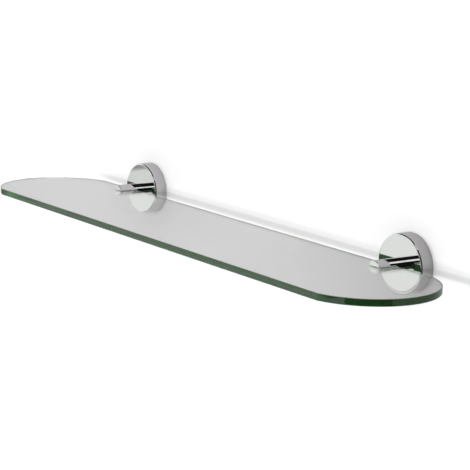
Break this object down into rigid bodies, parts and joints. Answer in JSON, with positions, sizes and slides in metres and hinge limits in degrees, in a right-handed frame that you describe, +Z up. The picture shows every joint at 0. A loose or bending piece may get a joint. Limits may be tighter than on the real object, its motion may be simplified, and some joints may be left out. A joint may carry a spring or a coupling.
{
  "type": "glass wall shelf",
  "caption": "Clear glass wall shelf with rounded ends, clamped in slotted round chrome arms on concealed-fix round wall rosettes.",
  "frame": {"origin": "on the wall's face, midway between the two brackets and level with the axes of their arms", "axes": "+X runs along the shelf to the right seen from the front, +Y points into the wall, +Z is up; the shelf stands out of the wall towards -Y"},
  "size_m": [0.6, 0.1801, 0.056],
  "materials": {
    "shelf_glass": "clear float glass, polished edge with a green tint",
    "bracket_chrome": "polished chrome plate",
    "plate_zinc": "bare die-cast zinc",
    "screw_steel": "bright zinc-plated and stainless steel",
    "liner_plastic": "soft milky clear plastic",
    "plug_plastic": "matt grey nylon"
  },
  "bodies": {
    "brackets": {"left_rosette": "bracket_chrome", "left_arm": "bracket_chrome", "left_slot_liner": "liner_plastic", "left_arm_washer": "screw_steel", "left_arm_screw": "screw_steel", "left_wall_plate": "plate_zinc", "left_upper_wall_screw": "screw_steel", "left_lower_wall_screw": "screw_steel", "left_upper_wall_plug": "plug_plastic", "left_lower_wall_plug": "plug_plastic", "right_rosette": "bracket_chrome", "right_arm": "bracket_chrome", "right_slot_liner": "liner_plastic", "right_arm_washer": "screw_steel", "right_arm_screw": "screw_steel", "right_wall_plate": "plate_zinc", "right_upper_wall_screw": "screw_steel", "right_lower_wall_screw": "screw_steel", "right_upper_wall_plug": "plug_plastic", "right_lower_wall_plug": "plug_plastic"},
    "shelf": {"glass_shelf": "shelf_glass"},
    "left_clamp": {"left_clamp_screw": "screw_steel"},
    "left_lock": {"left_set_screw": "screw_steel"},
    "right_clamp": {"right_clamp_screw": "screw_steel"},
    "right_lock": {"right_set_screw": "screw_steel"}
  },
  "joints": [
    {"name": "shelf_slide", "type": "slide", "parent": "brackets", "child": "shelf", "axis": [0, -1, 0], "range_m": [0, 0.018]},
    {"name": "left_clamp_turn", "type": "hinge", "parent": "brackets", "child": "left_clamp", "pos_m": [-0.2, -0.032, -0.0056], "axis": [0, 0, -1], "range_deg": [0, 720]},
    {"name": "left_lock_turn", "type": "hinge", "parent": "brackets", "child": "left_lock", "pos_m": [-0.2, -0.005, -0.024], "axis": [0, 0, -1], "range_deg": [0, 720]},
    {"name": "right_clamp_turn", "type": "hinge", "parent": "brackets", "child": "right_clamp", "pos_m": [0.2, -0.032, -0.0056], "axis": [0, 0, -1], "range_deg": [0, 720]},
    {"name": "right_lock_turn", "type": "hinge", "parent": "brackets", "child": "right_lock", "pos_m": [0.2, -0.005, -0.024], "axis": [0, 0, -1], "range_deg": [0, 720]}
  ]
}
